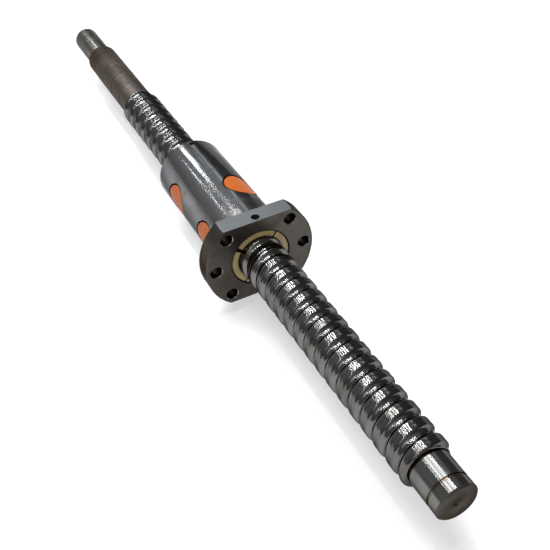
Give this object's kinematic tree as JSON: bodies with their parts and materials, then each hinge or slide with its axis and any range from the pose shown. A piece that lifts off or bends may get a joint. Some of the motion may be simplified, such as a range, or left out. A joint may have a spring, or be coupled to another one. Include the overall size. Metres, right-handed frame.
{
  "type": "ball screw",
  "caption": "Rolled ball screw with turned end journals and a flanged ball nut that travels and turns on its thread.",
  "frame": {"origin": "on the screw's axis at the middle of its length", "axes": "+X along the screw towards the journal with the circlip groove, +Z through the flange flat that holds the lubrication port"},
  "size_m": [0.47, 0.062, 0.048],
  "materials": {
    "rolled_steel": "rolled and polished",
    "ground_steel": "ground",
    "orange_plastic": "moulded",
    "tan_plastic": "moulded",
    "ball_steel": "polished",
    "spring_steel": "drawn wire",
    "black_oxide": "black oxide"
  },
  "bodies": {
    "screw": {"screw_shaft": "rolled_steel"},
    "wiper_springs": {"front_wiper_spring": "spring_steel", "rear_wiper_spring": "spring_steel"},
    "nut": {"nut_body": "ground_steel", "rear_wiper_set_screw": "black_oxide", "return_insert_1": "orange_plastic", "return_insert_2": "orange_plastic", "return_insert_3": "orange_plastic", "return_insert_4": "orange_plastic", "ball_circuit_1": "ball_steel", "ball_circuit_2": "ball_steel", "ball_circuit_3": "ball_steel", "ball_circuit_4": "ball_steel", "front_wiper_segment_1": "tan_plastic", "front_wiper_segment_2": "tan_plastic", "front_wiper_segment_3": "tan_plastic", "front_wiper_segment_4": "tan_plastic", "rear_wiper_segment_1": "tan_plastic", "rear_wiper_segment_2": "tan_plastic", "rear_wiper_segment_3": "tan_plastic", "rear_wiper_segment_4": "tan_plastic"}
  },
  "joints": [
    {"name": "nut_travel", "type": "slide", "parent": "screw", "child": "wiper_springs", "axis": [1, 0, 0], "range_m": [-0.1026, 0.1717]},
    {"name": "nut_turn", "type": "hinge", "parent": "wiper_springs", "child": "nut", "pos_m": [0.05275, 0, 0], "axis": [1, 0, 0], "range_deg": [-3693.6, 6181.2]}
  ],
  "couplings": [
    {"joint": "nut_turn", "follows": "nut_travel", "rad_per_m": 628.32}
  ]
}
